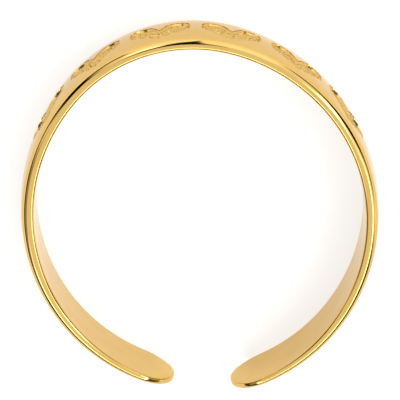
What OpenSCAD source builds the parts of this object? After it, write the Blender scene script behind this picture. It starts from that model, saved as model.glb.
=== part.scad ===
// Open toe ring of yellow gold: one band with a row of recessed hearts along its front.
// It lies on its side. Z = 0 is its lower edge, +Z runs along the toe, and the hearts face +Y.
// The origin is on the axis of the front arc. Lengths are in millimetres, and angles in degrees
// are counted clockwise from +Y, seen from above.

/* [Outline] */
// Inner radius of the front arc, where the toe rests
front_r = 6.85; // [6.5:0.05:7.2]
// How much wider the inner radius of the two side arcs is, which run on to the tips
side_more = 0.75; // [0.45:0.05:1.15]
// Gap between the two tips
gap_w = 2.5; // [1.6:0.1:4]
// Place of the gap's middle along X
gap_x = 0.28; // [-0.4:0.04:0.8]

/* [Band] */
// Width of the band, along the toe
band_w = 4; // [3.4:0.1:5]
// Wall along the edges, over the whole front arc
edge_wall = 0.46; // [0.36:0.02:0.6]
// Wall along the edges at the tips, to which the sides thin
tip_wall = 0.2; // [0.14:0.02:0.34]
// Rise of the domed outer face over the edges, at the middle of the width
dome_rise = 0.145; // [0.1:0.005:0.25]
// Bevel along the outer corners
outer_bevel = 0.08; // [0.04:0.01:0.12]
// Bevel along the inner corners
inner_bevel = 0.05; // [0.02:0.01:0.08]
// How much the radius of the rounded tips exceeds half the width
tip_blunt = 0.1; // [0.05:0.05:0.4]

/* [Hearts] */
// Number of hearts
heart_count = 6; // [2:2:8]
// Distance from one heart's middle to the next, along the crown
heart_pitch = 3.07; // [2.9:0.01:3.2]
// Width of a heart
heart_w = 2.56; // [2.3:0.02:2.7]
// Length of a heart, from its point to the top of its lobes
heart_l = 2.46; // [2.1:0.02:2.6]
// Radius of a lobe
lobe_r = 0.5; // [0.35:0.01:0.54]
// Length of a heart's upright sides, between the lobes and the turn towards the point
side_l = 0.72; // [0.5:0.02:0.8]
// Radius of the turn from an upright side to the straight side below it
hip_r = 0.35; // [0.2:0.01:0.4]
// Depth of the notch between the lobes
notch_depth = 1.1; // [0.6:0.05:1.3]
// Depth of the recess below the crown
heart_depth = 0.13; // [0.08:0.01:0.2]
// How far the middle of a heart lies above the middle of the width
heart_shift = 0.26; // [0:0.02:0.3]

/* [Hidden] */
$fn = 240;
gold = [0.89, 0.73, 0.40];
// Cutters run this much past what they cut
over = 1;
// Share of a circle's radius at which the heart's sides pass its centre
side_bite = 0.97;
quarter = 90;
degrees_per_radian = 180 / PI;
// Lengths that the joined arcs share are rounded to this
grid = 0.001;

side_r = front_r + side_more;
crown = edge_wall + dome_rise;
dome_r = rounded((pow(band_w / 2, 2) + pow(dome_rise, 2)) / (2 * dome_rise));
tip_r = band_w / 2 + tip_blunt;

// Directions from the origin to the joints, where the front arc meets the two sides. Both are
// sides of whole-number triangles, so that the arcs' centres on them are round numbers and the
// arcs meet exactly.
right_joint = [0.6, 0.8];
left_joint = [-0.96, 0.28];
// Sectors reach this far from the origin
far = 20;

// Unit vector at an angle counted clockwise from +Y
function toward(a) = [sin(a), cos(a)];

function rounded(x) = round(x / grid) * grid;

// A side arc's inner face leaves the front arc without a corner
function inner_centre(joint) = -side_more * joint;

// Its outer face is tighter by this much, so that the wall thins towards the tip
function thinning(joint) = rounded((edge_wall - tip_wall) / (1 + joint.y));
function outer_centre(joint) = inner_centre(joint) + thinning(joint) * joint;
function outer_r(joint) = side_r + edge_wall - thinning(joint);

// Everything from a joint round to a line inside the gap
module side_sector(joint) {
    way = sign(joint.x);
    stop = gap_x + way * gap_w / 4;
    translate([0, 0, -over])
        linear_extrude(band_w + 2 * over)
            polygon([[0, 0], far * joint, [way * far, -far], [stop, -far], [stop, 0]]);
}

// Section of the outer body, with a domed face and bevelled corners
module outer_section(r) {
    crest = r + dome_rise;
    corner = dome_rise + 2 * outer_bevel;
    intersection() {
        translate([crest - dome_r, band_w / 2]) circle(dome_r);
        polygon([
            [0, 0],
            [r - outer_bevel, 0],
            [crest + outer_bevel, corner],
            [crest + outer_bevel, band_w - corner],
            [r - outer_bevel, band_w],
            [0, band_w]
        ]);
    }
}

// Section of the hollow, with bevelled rims
module hollow_section(r) {
    polygon([
        [0, -over],
        [r + inner_bevel, -over],
        [r + inner_bevel, 0],
        [r, inner_bevel],
        [r, band_w - inner_bevel],
        [r + inner_bevel, band_w],
        [r + inner_bevel, band_w + over],
        [0, band_w + over]
    ]);
}

// A body of three children: one turned about the front arc's axis, then one for the right side
// and one for the left. Where the front meets a side, its circle touches the side's wider one
// from inside, so it needs no cut there and may run on all round.
module three_arcs() {
    children(0);
    intersection() {
        children(1);
        side_sector(right_joint);
    }
    intersection() {
        children(2);
        side_sector(left_joint);
    }
}

// The band before its hollow is taken out
module outer_body() {
    three_arcs() {
        rotate_extrude() outer_section(front_r + edge_wall);
        translate(outer_centre(right_joint)) rotate_extrude() outer_section(outer_r(right_joint));
        translate(outer_centre(left_joint)) rotate_extrude() outer_section(outer_r(left_joint));
    }
}

module hollow() {
    three_arcs() {
        rotate_extrude() hollow_section(front_r);
        translate(inner_centre(right_joint)) rotate_extrude() hollow_section(side_r);
        translate(inner_centre(left_joint)) rotate_extrude() hollow_section(side_r);
    }
}

// What lies under the floors of the hearts
module under_floors() {
    below = dome_rise - heart_depth;
    three_arcs() {
        cylinder(band_w, r = front_r + edge_wall + below);
        translate(outer_centre(right_joint)) cylinder(band_w, r = outer_r(right_joint) + below);
        translate(outer_centre(left_joint)) cylinder(band_w, r = outer_r(left_joint) + below);
    }
}

// Point where a line from p meets the circle round c, a little inside its rim
function touch(p, c, r, way) =
    let(d = norm(c - p), reach = sqrt(pow(d, 2) - pow(side_bite * r, 2)))
    p + reach * toward(atan2(c.x - p.x, c.y - p.y) + way * asin(side_bite * r / d));

// A heart with its point up, centred on its own middle
module heart() {
    point = [0, heart_l / 2];
    notch = [0, notch_depth - heart_l / 2];
    lobe = [heart_w / 2 - lobe_r, lobe_r - heart_l / 2];
    hip = [heart_w / 2 - hip_r, lobe.y + side_l];
    right = [
        touch(point, hip, hip_r, -1),
        hip,
        hip + [side_bite * hip_r, 0],
        lobe + [side_bite * lobe_r, 0],
        lobe,
        touch(notch, lobe, lobe_r, 1)
    ];
    left = [for (i = [len(right) - 1 : -1 : 0]) [-right[i].x, right[i].y]];
    polygon(concat([point], right, [notch], left));
    for (way = [-1, 1]) {
        translate([way * lobe.x, lobe.y]) circle(lobe_r);
        translate([way * hip.x, hip.y]) circle(hip_r);
    }
}

// Where the crown has a given length from the middle of the hearts, +Y pointing outwards
module on_crown(along) {
    joint = along < 0 ? left_joint : right_joint;
    joint_angle = atan2(abs(joint.x), joint.y);
    front_crown = front_r + crown;
    side_crown = outer_r(joint) + dome_rise;
    past = abs(along) - front_crown * joint_angle / degrees_per_radian;
    on_side = past > 0;
    a = on_side ? joint_angle + past / side_crown * degrees_per_radian
                : abs(along) / front_crown * degrees_per_radian;
    translate(on_side ? outer_centre(joint) : [0, 0])
        rotate([0, 0, -sign(along) * a])
            translate([0, on_side ? side_crown : front_crown, band_w / 2 + heart_shift])
                children();
}

// Space of all the hearts, cut down from above the crown to their floors
module recesses() {
    difference() {
        for (i = [0 : heart_count - 1])
            on_crown((i - (heart_count - 1) / 2) * heart_pitch)
                translate([0, over, 0])
                    rotate([quarter, 0, 0])
                        linear_extrude(over + crown)
                            heart();
        under_floors();
    }
}

// The gap at the back, with a rounded tip on each side of it
module gap() {
    reach = gap_w / 2 + tip_r;
    rotate([quarter, 0, 0])
        linear_extrude(2 * side_r)
            difference() {
                translate([gap_x - reach, -over]) square([2 * reach, band_w + 2 * over]);
                for (way = [-1, 1])
                    translate([gap_x + way * reach, band_w / 2]) circle(tip_r);
            }
}

module band() {
    color(gold)
        difference() {
            outer_body();
            hollow();
            gap();
            recesses();
        }
}

band();
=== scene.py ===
# %% [markdown]
# An open toe ring of polished yellow gold lies on its side on a pale floor. A goldsmith makes
# such a ring from a flat strip: the strip is cut to length with rounded ends, domed, pierced or
# stamped with its pattern, and last bent round a steel rod. This notebook works in the same
# order, because every step is simple while the strip is flat.
#
# The imported model holds the ring's real size. It is loaded first, and the band's width is read off
# its box.

# %% The imported model
import math
import bmesh
import bpy
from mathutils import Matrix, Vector


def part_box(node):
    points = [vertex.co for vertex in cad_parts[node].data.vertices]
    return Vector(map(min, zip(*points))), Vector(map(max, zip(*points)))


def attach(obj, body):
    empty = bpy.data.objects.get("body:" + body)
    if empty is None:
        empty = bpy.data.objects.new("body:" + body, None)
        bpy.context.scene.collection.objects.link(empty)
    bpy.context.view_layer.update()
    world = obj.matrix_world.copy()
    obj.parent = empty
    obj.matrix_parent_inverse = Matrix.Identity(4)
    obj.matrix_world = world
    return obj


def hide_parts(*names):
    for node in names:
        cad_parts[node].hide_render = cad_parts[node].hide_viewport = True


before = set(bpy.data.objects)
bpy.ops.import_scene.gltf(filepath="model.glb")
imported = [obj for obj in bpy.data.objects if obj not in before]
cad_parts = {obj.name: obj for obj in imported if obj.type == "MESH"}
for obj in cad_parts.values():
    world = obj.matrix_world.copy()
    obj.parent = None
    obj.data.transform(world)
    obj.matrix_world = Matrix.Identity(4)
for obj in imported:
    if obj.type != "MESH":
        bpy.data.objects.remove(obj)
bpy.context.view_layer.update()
band_low, band_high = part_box("band")
print("the band's box in metres:", tuple(band_low), tuple(band_high))

# %% [markdown]
# The ring is a few millimetres across, and some of Blender's tools round off distances that are
# small against a metre. The strip is therefore worked on a bench where one unit is a
# millimetre, and it is brought to metres in one step when it is finished.
#
# The sizes below are the ring's own. The band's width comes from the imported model. Two walls are
# named: the one along the edges, and the thicker one at the crown, where the dome is highest. The
# gap lies a little to the right of the front's middle, and each tip is rounded over TIP_L.

# %% Sizes in millimetres
MM = 0.001
BAND_W = (band_high.z - band_low.z) / MM
EDGE_WALL = 0.466
DOME_RISE = 0.136
CROWN_WALL = EDGE_WALL + DOME_RISE
GAP_W = 2.5
GAP_X = 0.28
OUTER_ROUND = 0.28
INNER_ROUND = 0.14
TIP_L = 1.6
print("band", round(BAND_W, 3), "mm wide, its crown", round(CROWN_WALL, 3), "mm thick")

# %% [markdown]
# Seen from above, a ring that is bent by hand is never quite round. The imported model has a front
# arc and two wider sides. Here the outline is drawn with five arcs that meet without a corner, and
# so follows the hand-bent one more closely: a tight arc at the front, a flatter one on each side
# of it, and two long ones that run on to the tips. Each arc's centre lies on the line from the
# last centre through the joint.
#
# Angles are counted from the front, the same way on both sides. An arc is given by the angle at
# which it ends and by its radius, and the last one ends at the gap. The wall keeps its thickness
# over the front half and thins from a given angle towards each tip. Each side keeps its arcs,
# its length, and the length from the front to where the wall starts to thin.

# %% The crown's outline
FRONT = Vector((-0.13, 7.434, 0))
FRONT_R = 6.99
TO_TIP = None
LEFT_ARCS = (50, FRONT_R), (75, 8.35), (TO_TIP, 7.86)
RIGHT_ARCS = (15, FRONT_R), (50, 8.39), (TO_TIP, 7.84)
LEFT_THINS_FROM, LEFT_THINNING = 94, 0.283
RIGHT_THINS_FROM, RIGHT_THINNING = 90, 0.3


class Side:
    """One half of the crown, from the middle of the front to a tip, as a chain of arcs.

    Its way is -1 on the left and 1 on the right.
    """

    def __init__(self, way, arcs, thins_from, thinning):
        self.way, self.thinning = way, thinning
        self.arcs = []
        place, turned, self.length = FRONT, 0, 0
        thin_from = math.radians(thins_from)
        for end, r in arcs:
            centre = place - r * self.outward(turned)
            if end is TO_TIP:
                ends_at = math.pi - math.asin(way * (GAP_X + way * GAP_W / 2 - centre.x) / r)
            else:
                ends_at = math.radians(end)
            if turned <= thin_from < ends_at:
                self.thin_length = self.length + r * (thin_from - turned)
            self.arcs.append((centre, r, ends_at - turned))
            self.length += r * (ends_at - turned)
            turned = ends_at
            place = centre + r * self.outward(turned)
        self.tip, self.last_r = place, r

    def outward(self, angle):
        """Direction straight out of the ring, at an angle from the front."""
        return Vector((self.way * math.sin(angle), math.cos(angle), 0))


left = Side(-1, LEFT_ARCS, LEFT_THINS_FROM, LEFT_THINNING)
right = Side(1, RIGHT_ARCS, RIGHT_THINS_FROM, RIGHT_THINNING)
STRIP_L = left.length + right.length
print("strip", round(STRIP_L, 2), "mm long, its front", round(left.length, 2), "mm from the left end")

# %% [markdown]
# Every operator acts on what is selected, so each step starts by choosing vertices, edges or
# faces by where they are. Two small helpers do this: `fresh` clears the selection before
# something new is added, and `choose` selects the parts of the active mesh that pass a test. A
# third one, `finish_modifiers`, makes a piece's modifiers part of its mesh.

# %% Helpers for choosing and finishing
def fresh():
    """Leaves edit mode and deselects every object."""
    if bpy.context.mode != "OBJECT":
        bpy.ops.object.mode_set(mode="OBJECT")
    bpy.ops.object.select_all(action="DESELECT")


def choose(kind, test):
    """Selects what passes a test on a vertex's place, an edge's two ends, or a face."""
    bpy.ops.object.mode_set(mode="OBJECT")
    mesh = bpy.context.object.data
    for parts in (mesh.vertices, mesh.edges, mesh.polygons):
        parts.foreach_set("select", [False] * len(parts))
    if kind == "VERT":
        picked = [v for v in mesh.vertices if test(v.co)]
    elif kind == "EDGE":
        picked = [e for e in mesh.edges if test(*(mesh.vertices[i].co for i in e.vertices))]
    else:
        picked = [f for f in mesh.polygons if test(f)]
    for part in picked:
        part.select = True
    bpy.ops.object.mode_set(mode="EDIT")
    bpy.ops.mesh.select_mode(type=kind)


def finish_modifiers(piece):
    """Applies a piece's modifiers in their order."""
    fresh()
    bpy.context.view_layer.objects.active = piece
    piece.select_set(True)
    for modifier in list(piece.modifiers):
        bpy.ops.object.modifier_apply(modifier=modifier.name)


# %% [markdown]
# The steel rod for the bending is a curve along the crown. It starts as one vertex at the left
# tip, and each arc is spun on from the end of the last. A plane merged to its middle gives the
# first vertex. A curve that is made from a mesh may run either way, so it is turned round if it
# starts at the wrong tip.

# %% The bending line
SPIN_STEP = 0.04


def set_pen(name, place):
    """Starts a drawing: a mesh of one selected vertex."""
    fresh()
    bpy.ops.mesh.primitive_plane_add(size=1, location=place, enter_editmode=True)
    bpy.ops.mesh.merge(type="CENTER")
    bpy.ops.object.mode_set(mode="OBJECT")
    bpy.ops.object.transform_apply(location=True)
    drawing = bpy.context.object
    drawing.name = name
    bpy.ops.object.mode_set(mode="EDIT")
    bpy.ops.mesh.select_mode(type="VERT")
    bpy.ops.mesh.select_all(action="SELECT")
    return drawing


def spin_arc(centre, angle, radius):
    """Spins the selected vertex clockwise round a centre."""
    bpy.ops.mesh.spin(steps=round(radius * angle / SPIN_STEP), angle=angle,
                      center=centre, axis=(0, 0, 1))


# %% The rod's curve
bending_line = set_pen("bending_line", left.tip)
for centre, r, angle in left.arcs[::-1] + right.arcs:
    spin_arc(centre, angle, r)
bpy.ops.object.mode_set(mode="OBJECT")
bpy.ops.object.convert(target="CURVE")
line_start = bending_line.data.splines[0].points[0].co.xyz
if (line_start - left.tip).length > (line_start - right.tip).length:
    bpy.ops.object.mode_set(mode="EDIT")
    bpy.ops.curve.select_all(action="SELECT")
    bpy.ops.curve.switch_direction()
    bpy.ops.object.mode_set(mode="OBJECT")
line_points = bending_line.data.splines[0].points
print("bending line of", len(line_points), "points ends",
      round((line_points[-1].co.xyz - right.tip).length, 4), "mm from the tip")

# %% [markdown]
# The blank is drawn as an outline first: a circle whose two halves are pulled apart by the
# strip's length, and squeezed to the shape of the rounded tips. The circle is turned by half a
# step, so that its flat sides are as far apart as the band is wide. The two long edges are cut
# in two rounds, into pieces that are short enough to bend later on.

# %% The outline of the blank
TIP_POINTS = 64
LONG_CUTS = 20, 22
half_step = math.pi / TIP_POINTS
fresh()
bpy.ops.mesh.primitive_circle_add(vertices=TIP_POINTS, radius=BAND_W / 2 / math.cos(half_step),
                                  fill_type="NOTHING", rotation=(math.pi / 2, half_step, 0))
band = bpy.context.object
band.name = "gold_band"
bpy.ops.object.transform_apply(rotation=True)
bpy.ops.object.mode_set(mode="EDIT")
bpy.ops.transform.resize(value=(TIP_L / (BAND_W / 2), 1, 1))
choose("VERT", lambda p: p.x > 0)
bpy.ops.transform.translate(value=(STRIP_L - 2 * TIP_L, 0, 0))
bpy.ops.mesh.select_all(action="SELECT")
bpy.ops.transform.translate(value=(TIP_L, 0, 0))
for cuts in LONG_CUTS:
    choose("EDGE", lambda a, b: (a - b).length > BAND_W / 4)
    bpy.ops.mesh.subdivide(number_cuts=cuts - 1)
bpy.ops.object.mode_set(mode="OBJECT")
print("outline of", len(band.data.vertices), "points,", round(band.dimensions.x, 3), "mm long")

# %% [markdown]
# The outline is filled, and the face is extruded to the thickness of the wall at the crown. The
# outer corner is rounded with a wide bevel and the inner one with a small one, as a file and a
# polishing wheel leave them. The bevels come before the faces are divided, so that they run
# evenly all round, also round the tips.

# %% The blank and its rounded corners
OUTER_SEGMENTS = 9
INNER_SEGMENTS = 6
NEAR = 1e-4
bpy.ops.object.mode_set(mode="EDIT")
bpy.ops.mesh.select_all(action="SELECT")
bpy.ops.mesh.edge_face_add()
bpy.ops.mesh.extrude_region_move(TRANSFORM_OT_translate={"value": (0, -CROWN_WALL, 0)})
bpy.ops.mesh.select_all(action="SELECT")
bpy.ops.mesh.normals_make_consistent(inside=False)


def lies_at(level):
    """A test for edges that lie at one level."""
    return lambda a, b: abs(a.y - level) < NEAR and abs(b.y - level) < NEAR


choose("EDGE", lies_at(0))
bpy.ops.mesh.bevel(offset=OUTER_ROUND, segments=OUTER_SEGMENTS, affect="EDGES")
choose("EDGE", lies_at(-CROWN_WALL))
bpy.ops.mesh.bevel(offset=INNER_ROUND, segments=INNER_SEGMENTS, affect="EDGES")
bpy.ops.object.mode_set(mode="OBJECT")
print("blank of", len(band.data.polygons), "faces")

# %% [markdown]
# The two large faces are replaced by an even net of small quads, which can be domed and bent.
# Grid Fill makes it from a closed loop of edges. It needs to know which vertex is a corner, and
# reads that from the active vertex: here it is the right end of the upper long edge.

# %% A net of quads on both faces
def fill_with_net(level):
    """Replaces the large face at a level by a net of quads."""
    choose("FACE", lambda f: len(f.vertices) > TIP_POINTS and abs(f.center.y - level) < NEAR)
    bpy.ops.mesh.delete(type="ONLY_FACE")
    bpy.ops.mesh.select_mode(type="EDGE")
    bpy.ops.mesh.select_all(action="DESELECT")
    bpy.ops.mesh.select_non_manifold(use_wire=False, use_boundary=True, use_multi_face=False,
                                     use_non_contiguous=False, use_verts=False)
    net = bmesh.from_edit_mesh(bpy.context.object.data)
    rim = [v for v in net.verts if v.select]
    net.select_history.clear()
    net.select_history.add(max(rim, key=lambda v: (round(v.co.z, 3), v.co.x)))
    bpy.ops.mesh.fill_grid(span=LONG_CUTS[0] * LONG_CUTS[1])


bpy.ops.object.mode_set(mode="EDIT")
fill_with_net(0)
fill_with_net(-CROWN_WALL)
bpy.ops.mesh.select_all(action="SELECT")
bpy.ops.mesh.normals_make_consistent(inside=False)
bpy.ops.object.mode_set(mode="OBJECT")
print("blank of", len(band.data.polygons), "faces, all quads:",
      all(len(f.vertices) == 4 for f in band.data.polygons))

# %% [markdown]
# Each heart has two round lobes, short upright sides, a small turn at the hip, straight sides
# that run to its point, and a deep notch. The point is towards the upper edge, and the lobes lie
# near the middle of the band. Its drawing needs the directions in which the straight sides touch
# a hip or a lobe, and the places where they meet the middle line.

# %% The sizes of a heart
HEART_COUNT = 6
HEART_PITCH = 3.07
HEART_W = 2.56
POINT_Z = 1.49
NOTCH_Z = 0.13
LOBE_R = 0.5
HIP_R = 0.35
HEART_DEPTH = 0.12
LOBE = Vector((HEART_W / 2 - LOBE_R, 0, -0.47))
HIP = Vector((HEART_W / 2 - HIP_R, 0, 0.25))


def touch_angle(centre, radius, height, way):
    """Direction from a circle's centre to where a line from the middle line touches it."""
    reach = Vector((-centre.x, height - centre.z))
    return math.atan2(reach.y, reach.x) + way * math.acos(radius / reach.length)


SIDE_ANGLE = touch_angle(HIP, HIP_R, POINT_Z, -1)
NOTCH_ANGLE = touch_angle(LOBE, LOBE_R, NOTCH_Z, 1)


def on_circle(centre, radius, angle):
    """A point of a circle in the plane of the drawing."""
    return centre + radius * Vector((math.cos(angle), 0, math.sin(angle)))


def on_middle_line(centre, radius, angle):
    """Where the straight side that touches the circle at this angle meets the middle line."""
    return Vector((0, 0, centre.z + (radius + centre.x * math.cos(angle)) / math.sin(angle)))


print("straight sides touch the hip at", round(math.degrees(SIDE_ANGLE), 1), "and the lobe at",
      round(math.degrees(NOTCH_ANGLE), 1), "degrees")

# %% [markdown]
# The cutter of a heart is drawn with one vertex: from the point along a straight side, round the
# hip, down the upright side, round the lobe and up to the notch. A Mirror modifier adds the other
# half. The outline is filled and extruded down to the strip's face, and two insets then lead it
# on: a short upright one makes the sharp rim of the recess, and a deeper one slopes its wall. On
# the real ring the rim shows as a fine brown line, and the wall beside it as a bright one. Each
# inset is given by how far it goes inwards and how far down.

# %% Drawing a heart
LOBE_STEPS = 26
HIP_STEPS = 8


def draw_to(place, here):
    """Draws a straight line from here to a place."""
    bpy.ops.mesh.extrude_region_move(TRANSFORM_OT_translate={"value": place - here})
    return place


def turn_round(centre, angle, steps):
    """Draws an arc round a centre."""
    bpy.ops.mesh.spin(steps=steps, angle=angle, center=centre, axis=(0, 1, 0))


pen = on_middle_line(HIP, HIP_R, SIDE_ANGLE)
heart_cutter = set_pen("heart_cutter", pen)
draw_to(on_circle(HIP, HIP_R, SIDE_ANGLE), pen)
turn_round(HIP, -SIDE_ANGLE, HIP_STEPS)
draw_to(on_circle(LOBE, LOBE_R, 0), on_circle(HIP, HIP_R, 0))
turn_round(LOBE, NOTCH_ANGLE - 2 * math.pi, LOBE_STEPS)
draw_to(on_middle_line(LOBE, LOBE_R, NOTCH_ANGLE), on_circle(LOBE, LOBE_R, NOTCH_ANGLE))
bpy.ops.object.mode_set(mode="OBJECT")
mirror = heart_cutter.modifiers.new("mirror", "MIRROR")
mirror.merge_threshold = NEAR
finish_modifiers(heart_cutter)
print("heart of", len(heart_cutter.data.vertices), "points")

# %% The cutter of a heart
OVER = 0.5
WALL_STEPS = (0.003, 0.035), (0.07, 0.085)
DOWNWARDS = -0.9
bpy.ops.object.mode_set(mode="EDIT")
bpy.ops.mesh.select_all(action="SELECT")
bpy.ops.transform.translate(value=(0, OVER, 0))
bpy.ops.mesh.edge_face_add()
bpy.ops.mesh.extrude_region_move(TRANSFORM_OT_translate={"value": (0, -OVER, 0)})
bpy.ops.mesh.select_all(action="SELECT")
bpy.ops.mesh.normals_make_consistent(inside=False)
choose("FACE", lambda f: f.normal.y < DOWNWARDS)
for inwards, down in WALL_STEPS:
    bpy.ops.mesh.inset(thickness=inwards, depth=down)
bpy.ops.mesh.extrude_region_move(TRANSFORM_OT_translate={"value": (0, -CROWN_WALL / 2, 0)})
bpy.ops.object.mode_set(mode="OBJECT")
print("cutter of", len(heart_cutter.data.polygons), "faces,",
      [round(d, 3) for d in heart_cutter.dimensions], "mm")

# %% [markdown]
# A goldsmith uses one stamp for all the hearts. Here one cutter becomes six, each with its own
# mesh, in a row about the middle of the strip's front. So all hearts are equal, and a change to the
# first is a change to all. They are joined, because one step can then cut them all.

# %% Six cutters
middle = left.length - FRONT.x
cutters = []
for i in range(HEART_COUNT):
    along = middle + (i - (HEART_COUNT - 1) / 2) * HEART_PITCH
    fresh()
    heart_cutter.select_set(True)
    bpy.context.view_layer.objects.active = heart_cutter
    bpy.ops.object.duplicate_move(TRANSFORM_OT_translate={"value": (along, 0, 0)})
    cutters.append(bpy.context.object)
fresh()
bpy.data.objects.remove(heart_cutter)
for cutter in cutters:
    cutter.select_set(True)
bpy.context.view_layer.objects.active = cutters[0]
bpy.ops.object.join()
bpy.ops.object.transform_apply(location=True)
six_cutters = bpy.context.object
print("six cutters of", len(six_cutters.data.polygons), "faces in all")

# %% [markdown]
# A punch with a grained face gives the floors of the recesses their speckle. It is a long grid
# whose vertices a cloud texture moves in and out, and which is extruded to a slab. The cutters
# and the slab are then kept where they overlap, so that each cutter has a grained end.

# %% The grained punch
GRAIN_CELL = 0.034
GRAIN_SIZE = 0.075
GRAIN_HEIGHT = 0.13
punch_l = HEART_COUNT * HEART_PITCH
punch_w = 2 * POINT_Z + OVER
fresh()
bpy.ops.mesh.primitive_grid_add(x_subdivisions=round(punch_l / GRAIN_CELL),
                                y_subdivisions=round(punch_w / GRAIN_CELL), size=1,
                                location=(middle, -HEART_DEPTH, 0), rotation=(math.pi / 2, 0, 0))
punch = bpy.context.object
punch.name = "grained_punch"
punch.scale = (punch_l, punch_w, 1)
bpy.ops.object.transform_apply(location=True, rotation=True, scale=True)
grain = bpy.data.textures.new("grain", "CLOUDS")
grain.noise_scale = GRAIN_SIZE
grain.noise_depth = 1
roughen = punch.modifiers.new("grain", "DISPLACE")
roughen.texture = grain
roughen.texture_coords = "LOCAL"
roughen.direction = "Y"
roughen.strength = GRAIN_HEIGHT
finish_modifiers(punch)
bpy.ops.object.mode_set(mode="EDIT")
bpy.ops.mesh.select_all(action="SELECT")
bpy.ops.mesh.extrude_region_move()
bpy.ops.transform.resize(value=(1, 0, 1), center_override=(0, OVER / 2, 0))
bpy.ops.mesh.select_all(action="SELECT")
bpy.ops.mesh.normals_make_consistent(inside=False)
bpy.ops.object.mode_set(mode="OBJECT")
print("punch", [round(d, 2) for d in punch.dimensions], "mm")


# %% Six cutters with grained ends
def combine(piece, tool, operation):
    """Cuts or intersects a piece with a tool, and removes the tool."""
    boolean = piece.modifiers.new(operation, "BOOLEAN")
    boolean.operation = operation
    boolean.object = tool
    boolean.solver = "MANIFOLD"
    finish_modifiers(piece)
    bpy.data.objects.remove(tool)


combine(punch, six_cutters, "INTERSECT")
print("grained cutters of", len(punch.data.polygons), "faces")

# %% [markdown]
# The grained cutters are taken out of the strip in one step. While the strip is still flat it is
# also easy to say which of its surface is a recess, because everything else on the outer side
# lies at zero. This is stored as an attribute, a number on each vertex, and it stays with the
# vertices through all the bending. The gold's material reads it later on, so that the grained
# floors can be more matt than the polished band round them.

# %% The six hearts cut
combine(band, punch, "DIFFERENCE")
matt = band.data.attributes.new("matt", "FLOAT", "POINT")
flat_w = BAND_W - 2 * OUTER_ROUND
for v in band.data.vertices:
    cut_in = abs(v.co.z) < flat_w / 2 and v.co.y > -CROWN_WALL / 2
    matt.data[v.index].value = min(1, -v.co.y / HEART_DEPTH) if cut_in else 0
print("cut band of", len(band.data.polygons), "faces,",
      sum(1 for d in matt.data if d.value > 0.5), "vertices of it in the recesses")

# %% [markdown]
# The strip is now domed and thinned, as with a swage and a rolling mill. Vertex groups say how
# far each vertex takes part, and Displace modifiers move them. The dome sinks the outer face
# towards the long edges and leaves the inner face flat. The thinning lifts the inner face
# towards the tips and leaves the outer face where it is. A vertex group holds shares up to one,
# so the thinning is stored as a share of MOST, a length that it never reaches.

# %% Dome and thinning
def weigh(piece, name, rule):
    """Fills a vertex group by a rule that gives a weight for each place."""
    group = piece.vertex_groups.new(name=name)
    for v in piece.data.vertices:
        group.add([v.index], rule(v.co), "REPLACE")


def press(piece, name, rule, strength):
    """Moves a piece's vertices along Y, each by its share of the strength."""
    weigh(piece, name, rule)
    move = piece.modifiers.new(name, "DISPLACE")
    move.vertex_group = name
    move.direction = "Y"
    move.mid_level = 0
    move.strength = strength


def outward_share(p):
    """One at the outer face, nothing at the inner one."""
    return min(1, max(0, 1 + p.y / CROWN_WALL))


def thin_at(along):
    """How much thinner the wall is at a place on the strip."""
    side = left if along < left.length else right
    past = max(0, abs(along - left.length) - side.thin_length) / side.last_r
    return side.thinning * (1 - math.cos(past))


MOST = 0.5
press(band, "dome", lambda p: outward_share(p) * (2 * p.z / BAND_W) ** 2, -DOME_RISE)
press(band, "thinning", lambda p: (1 - outward_share(p)) * thin_at(p.x) / MOST, MOST)
finish_modifiers(band)
print("thickness at the tips", round(CROWN_WALL - thin_at(0), 3), "and",
      round(CROWN_WALL - thin_at(STRIP_L), 3), "mm")

# %% [markdown]
# The strip is bent with a Curve modifier, which lays its X along the bending line and its Y
# outwards. Then it is lifted so that its lower edge lies on the floor, and scaled to metres. The
# shading is smooth but for the rim of the hearts, which stays sharp.

# %% Bending, and the step to metres
SMOOTH_UP_TO = math.radians(32)
bend = band.modifiers.new("bend", "CURVE")
bend.object = bending_line
bend.deform_axis = "POS_X"
finish_modifiers(band)
bpy.data.objects.remove(bending_line)
fresh()
band.select_set(True)
band.location.z = BAND_W / 2
bpy.ops.object.transform_apply(location=True)
band.scale = (MM, MM, MM)
bpy.ops.object.transform_apply(scale=True)
bpy.ops.object.mode_set(mode="EDIT")
bpy.ops.mesh.select_all(action="SELECT")
bpy.ops.mesh.normals_make_consistent(inside=False)
bpy.ops.object.mode_set(mode="OBJECT")
bpy.ops.object.shade_smooth_by_angle(angle=SMOOTH_UP_TO)
print("band measures", [round(d / MM, 3) for d in band.dimensions], "mm")

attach(band, "root")
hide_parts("band")

# %% [markdown]
# A material is a small sum on sockets, such as `noise * 0.1 + 0.12`. In Blender each plus or
# times is a Math node of its own, which is slow to write and hard to read. One small class wraps
# a node's output, so that Python's own signs add the Math nodes. Every other node comes from its
# `node` method: a type, the node's settings, and the values or links of its sockets.

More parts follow.
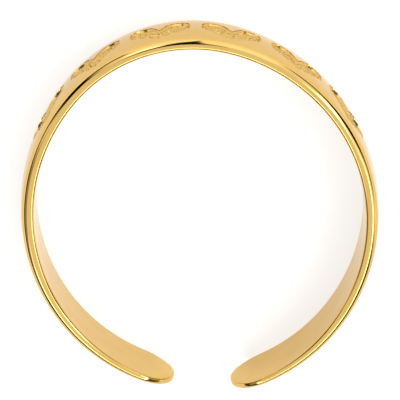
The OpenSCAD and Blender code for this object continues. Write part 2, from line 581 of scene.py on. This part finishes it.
# %% The wrapped socket
class Socket:
    """A node's output, or a number, that takes part in sums and products."""

    def __init__(self, tree, value):
        self.tree, self.value = tree, value

    def _math(self, operation, *others):
        """Adds a Math node."""
        values = {i: v for i, v in enumerate((self, *others))}
        return self.node("ShaderNodeMath", values, operation=operation)

    def node(self, kind, values=None, output=0, **settings):
        """Adds a node, sets its settings, and fills its sockets with values or links."""
        new = self.tree.nodes.new(kind)
        for name, value in settings.items():
            setattr(new, name, value)
        for key, value in (values or {}).items():
            value = value.value if isinstance(value, Socket) else value
            if isinstance(value, bpy.types.NodeSocket):
                self.tree.links.new(value, new.inputs[key])
            else:
                new.inputs[key].default_value = value
        return Socket(self.tree, new.outputs[output])

    def step(self, low, high, start=0, end=1):
        """Runs smoothly from one value to another between two of this socket's values."""
        values = {"Value": self, "From Min": low, "From Max": high, "To Min": start, "To Max": end}
        return self.node("ShaderNodeMapRange", values, interpolation_type="SMOOTHSTEP")

    def __add__(self, other):
        return self._math("ADD", other)

    def __mul__(self, other):
        return self._math("MULTIPLY", other)

    def __sub__(self, other):
        return self._math("SUBTRACT", other)

    def __rsub__(self, other):
        return Socket(self.tree, other)._math("SUBTRACT", self)

    __radd__ = __add__
    __rmul__ = __mul__


# %% [markdown]
# Gold has no colour of its own but that of its reflections: it is fully metallic, and the base
# colour is what it reflects head on. Seen along its surface it turns paler, and the Specular Tint
# keeps that paleness warm. The goldsmith's last steps leave their traces. The polishing wheel runs
# along the band, so very fine marks lie that way, which here is a noise that is stretched in the
# plane of the ring. The hand that files and polishes also leaves the faces slightly uneven, by a
# few thousandths of a millimetre. That is far too little to see as a shape, but it makes the lines
# of reflected light swell and shrink. Both are heights of a Bump node, given in metres.
#
# Some nodes have several outputs, or inputs of the same name. These are asked for by their number,
# and each number gets a name here.

# %% A gold material and its noises
OBJECT_PLACE = 3
gold = bpy.data.materials.new("polished_gold")
gold.use_nodes = True
tree = gold.node_tree
shader = tree.nodes["Principled BSDF"]
place = Socket(tree, None).node("ShaderNodeTexCoord", output=OBJECT_PLACE)


def noise(size, stretch=(1, 1, 1), detail=2):
    """A noise between 0 and 1, with spots of about this size in millimetres."""
    stretched = place.node("ShaderNodeMapping", {"Vector": place, "Scale": stretch})
    values = {"Vector": stretched, "Scale": 1 / (size * MM), "Detail": detail}
    return place.node("ShaderNodeTexNoise", values)


def into(name, value):
    """Feeds one of the gold shader's sockets."""
    tree.links.new(value.value, shader.inputs[name])


print("gold starts with", len(tree.nodes), "nodes")

# %% The relief of filing and polishing
UNEVEN_SIZE = 1.7
UNEVEN_HEIGHT = 0.02
MARK_SIZE = 0.05
MARK_STRETCH = (0.06, 0.06, 1)
MARK_HEIGHT = 0.0003
uneven = noise(UNEVEN_SIZE, detail=1) * (UNEVEN_HEIGHT * MM)
marks = noise(MARK_SIZE, MARK_STRETCH) * (MARK_HEIGHT * MM)
into("Normal", place.node("ShaderNodeBump", {"Height": uneven + marks, "Distance": 1}))
print("with its relief", len(tree.nodes), "nodes")

# %% [markdown]
# The polish itself is nearly a mirror, and is a little duller in some spots than in others. The
# floors of the hearts are more matt, which the number stored on their vertices tells. The colour
# drifts between two close shades of gold, so little that it isn't seen as spots.

# %% Roughness and colour
POLISH = 0.055
DULL_SIZE = 0.4
DULL_SPOTS = 0.04
MATT_ROUGHNESS = 0.2
SHADE_SIZE = 0.9
SHADE_RANGE = 0.3, 0.7
DEEP_GOLD = (0.665, 0.43, 0.127, 1)
PALE_GOLD = (0.68, 0.449, 0.142, 1)
WARM_TINT = (0.96, 0.865, 0.68, 1)
STORED_NUMBER = 2
MIX_SHARE, MIX_FIRST, MIX_SECOND, MIXED = 0, 6, 7, 2
matt_share = place.node("ShaderNodeAttribute", output=STORED_NUMBER, attribute_name="matt")
into("Roughness", noise(DULL_SIZE) * DULL_SPOTS + POLISH + matt_share * MATT_ROUGHNESS)
shade = noise(SHADE_SIZE).step(*SHADE_RANGE)
shades = {MIX_SHARE: shade, MIX_FIRST: DEEP_GOLD, MIX_SECOND: PALE_GOLD}
into("Base Color", place.node("ShaderNodeMix", shades, output=MIXED, data_type="RGBA"))
shader.inputs["Metallic"].default_value = 1
shader.inputs["Specular Tint"].default_value = WARM_TINT
band.data.materials.clear()
band.data.materials.append(gold)
print("finished gold of", len(tree.nodes), "nodes")

# %% [markdown]
# The ring lies on a white sheet that glows by itself, like the acrylic of a light table for a
# jeweller's catalogue. This glow is painted light, not a lamp. It takes almost all of the shadow
# away, and it also lights the ring from below, which is why the walls of the band are so bright.
# The glow is painted dimmer near the ring and stronger away from it, a painted shade round the
# ring, so that the lowest part of the rounded corner gets a bright line.

# %% The floor, with its painted glow
FLOOR_W = 0.6
# Painted light: the floor's glow is painted dimmer within 12 mm of the middle, under the ring, and
# brighter from 30 mm out.
PAINTED_GLOW_RANGE = 0.012, 0.03
PAINTED_GLOW_NEAR_RING = 0.62
PAINTED_GLOW_FAR = 0.78
ACRYLIC = (0.45, 0.45, 0.45, 1)
LENGTH_VALUE = 1
fresh()
bpy.ops.mesh.primitive_plane_add(size=FLOOR_W)
floor = bpy.context.object
floor.name = "floor"
table = bpy.data.materials.new("floor_with_painted_glow")
table.use_nodes = True
tree = table.node_tree
acrylic = tree.nodes["Principled BSDF"]
place = Socket(tree, None).node("ShaderNodeTexCoord", output=OBJECT_PLACE)
from_ring = place.node("ShaderNodeVectorMath", {0: place}, output=LENGTH_VALUE, operation="LENGTH")
# Painted shade round the ring: the glow is dimmer near the ring than further out.
painted_floor_glow = from_ring.step(*PAINTED_GLOW_RANGE, PAINTED_GLOW_NEAR_RING, PAINTED_GLOW_FAR)
tree.links.new(painted_floor_glow.value, acrylic.inputs["Emission Color"])
acrylic.inputs["Emission Strength"].default_value = 1
acrylic.inputs["Base Color"].default_value = ACRYLIC
acrylic.inputs["Roughness"].default_value = 1
acrylic.inputs["Specular IOR Level"].default_value = 0
floor.data.materials.append(table)
print("floor", round(floor.dimensions.x, 2), "m wide")

# %% [markdown]
# A polished ring shows little else than what is round it, so most of the work is in the
# surroundings. They are drawn in the world's own nodes, from the direction of each ray: its
# azimuth, clockwise from the front of the ring, and its elevation over the floor. The base is a
# white tent whose roof is slightly dimmer than its sides. Lamps are brighter fields of it, and
# black cards are dark ones, and each has soft sides.

# %% The light tent
WHITE = (1, 1, 1, 1)
ROOF = 60, 76
SIDES_LIGHT = 1.3
ROOF_LIGHT = 1.12
HORIZON = 0, 0.1
DEGREES = 180 / math.pi
scene = bpy.context.scene
scene.view_settings.view_transform = "Standard"
world = bpy.data.worlds.new("light_tent")
scene.world = world
world.use_nodes = True
tree = world.node_tree
background = tree.nodes["Background"]
background.inputs["Color"].default_value = WHITE
direction = Socket(tree, None).node("ShaderNodeTexCoord")
split = direction.node("ShaderNodeSeparateXYZ", {0: direction})
x, y, z = (Socket(tree, socket) for socket in split.value.node.outputs)
elevation = x.node("ShaderNodeMath", {0: z}, operation="ARCSINE") * DEGREES
azimuth = x.node("ShaderNodeMath", {0: x, 1: y}, operation="ARCTAN2") * DEGREES


def between(value, low, high, soft):
    """One between two values and nothing outside, with soft sides."""
    return value.step(low - soft, low + soft) * (1 - value.step(high - soft, high + soft))


def field(az, el, soft):
    """A field of the tent, from one azimuth and elevation to another."""
    return between(azimuth, *az, soft[0]) * between(elevation, *el, soft[1])


def panel(slope, reach, height, soft):
    """A slanting panel overhead, by the sideways and forward parts of the ray's direction."""
    slanting = between(x, *reach, soft) * between(y - x * slope, *height, soft)
    return slanting * z.step(*HORIZON)


tent = elevation.step(*ROOF, SIDES_LIGHT, ROOF_LIGHT)
print("white tent of", len(tree.nodes), "nodes")

# %% [markdown]
# Each lamp adds its light to the tent. A line of light round the back gives the bright line along
# the inner corner of the band, two lamps in front the pale parts of the front edge, and a slanting
# one on the right the white streak inside the black one. A row of the table holds the azimuths, the
# elevations, how soft the sides are in both, and the strength. Azimuths past 180 degrees let a
# field run on to the back without a soft side there.

# %% The lamps
BEHIND = 200
LAMPS = {
    "light line on the right": ((92, BEHIND), (50, 59), (8, 3), 6),
    "light line on the left": ((-BEHIND, -130), (50, 59), (10, 3), 6),
    "narrow lamp in front": ((-34, -18), (44, 66), (5, 5), 2),
    "wide lamp in front": ((-24, 40), (6, 76), (4, 4), 0.35),
}
SLANTING_LAMP = 0.87, (0.2, 0.72), (-0.34, -0.17), 0.04
SLANTING_STRENGTH = 6
for az, el, soft, strength in LAMPS.values():
    tent += field(az, el, soft) * strength
tent += panel(*SLANTING_LAMP) * SLANTING_STRENGTH
print("tent with lamps of", len(tree.nodes), "nodes")

# %% [markdown]
# Each black card takes its share of the light away. The first two are strips above the floor, open
# in front, and give the brown line along the outer corner. Two more give the black streaks on the
# left and on the right, and the dim sides towards the back give the edges their olive shade. The
# camera over the ring shows as the black crescent at the front, and its card ends a little behind
# the point straight above. What the camera sees directly of the tent is plain white.

# %% The black cards
BELOW = -30
CARDS = {
    "strip on the left": ((-BEHIND, -30), (BELOW, 20), (3, 5), 0.88),
    "strip on the right": ((40, 96), (BELOW, 20), (6, 5), 0.88),
    "card on the left": ((-72, -46), (BELOW, 55), (8, 14), 1),
    "card on the right": ((57, 82), (BELOW, 40), (5, 4), 1),
    "dim side on the left": ((-125, -84), (BELOW, 62), (8, 14), 0.7),
    "dim back on the right": ((112, BEHIND), (BELOW, 44), (10, 4), 0.92),
    "dim back on the left": ((-BEHIND, -125), (BELOW, 44), (10, 4), 0.92),
}
OVERHEAD_CARD = 1.8, (-0.12, 0.05), (-0.1, 0.9), 0.03
OVERHEAD_END = -0.11, -0.05
for az, el, soft, share in CARDS.values():
    tent *= 1 - field(az, el, soft) * share
tent *= 1 - panel(*OVERHEAD_CARD) * y.step(*OVERHEAD_END)
seen = tent.node("ShaderNodeLightPath")
tree.links.new((tent * (1 - seen) + seen).value, background.inputs["Strength"])
print("finished tent of", len(tree.nodes), "nodes")

# %% [markdown]
# The camera stands almost over the ring and leans a little towards its front. So the front wall
# shows from outside with its hearts, and the back shows from inside with the two tips. It stands
# far away with a long lens, as such pictures are taken, which keeps the ring's outline true. The
# lens is worked out from the distance and from how many pixels a millimetre takes.

# %% The camera
CAMERA_TILT = math.radians(14)
PIXELS_PER_MM = 23.56
PICTURE_PIXELS = 400
DISTANCE = 188
AIM_RIGHT = 0.178
AIM_DOWN = 0.085
SENSOR_W = 36
CLIP_NEAR = 0.01
CLIP_FAR = 2
back = Vector((0, math.sin(CAMERA_TILT), math.cos(CAMERA_TILT)))
up = Vector((0, math.cos(CAMERA_TILT), -math.sin(CAMERA_TILT)))
aim = Vector((AIM_RIGHT, 0, BAND_W / 2)) - AIM_DOWN * up
camera_data = bpy.data.cameras.new("camera")
camera = bpy.data.objects.new("camera", camera_data)
scene.collection.objects.link(camera)
scene.camera = camera
camera.location = (aim + DISTANCE * back) * MM
camera.rotation_euler = (-CAMERA_TILT, 0, 0)
camera_data.sensor_width = SENSOR_W
camera_data.lens = DISTANCE * PIXELS_PER_MM / PICTURE_PIXELS * SENSOR_W
camera_data.clip_start = CLIP_NEAR
camera_data.clip_end = CLIP_FAR
print("lens of", round(camera_data.lens), "mm at", DISTANCE, "mm")
